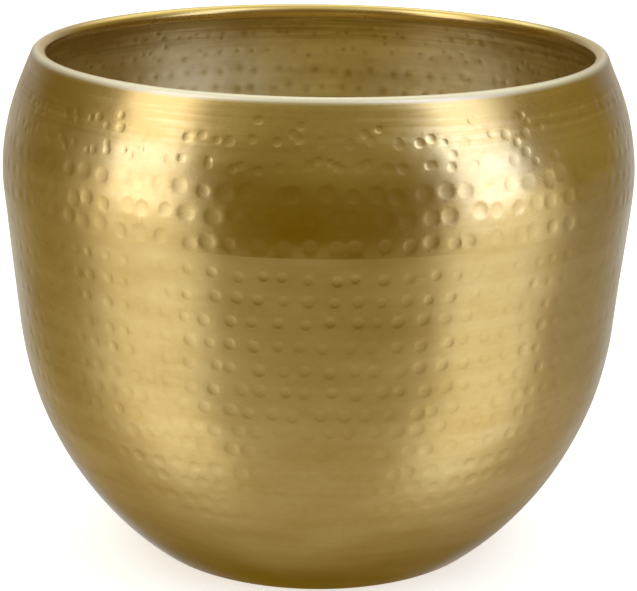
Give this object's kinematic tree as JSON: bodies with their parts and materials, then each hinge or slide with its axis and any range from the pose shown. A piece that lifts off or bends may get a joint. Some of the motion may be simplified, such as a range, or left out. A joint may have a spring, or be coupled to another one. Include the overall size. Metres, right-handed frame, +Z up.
{
  "type": "planter pot",
  "caption": "Round open brass planter with a hammered, tapering body, a rounded shoulder, a rolled lip and a flat base; it stands on a floor or table and holds a potted plant.",
  "frame": {"origin": "centre of the flat base, on the surface that the pot stands on", "axes": "+Z up along the pot's axis, out of the mouth; the pot is round, so +X and +Y are any two level directions"},
  "size_m": [0.36, 0.36, 0.29],
  "materials": {
    "bowl_brass": "hammered and brushed, antique satin lacquer",
    "band_brass": "hammered and brushed, antique satin lacquer, lip left smooth",
    "wire_brass": "drawn wire",
    "braze_filler": "as flowed, wiped"
  },
  "bodies": {
    "root": {"lower_bowl": "bowl_brass", "shoulder_band": "band_brass", "rim_wire": "wire_brass", "brazed_seam": "braze_filler"}
  },
  "joints": []
}
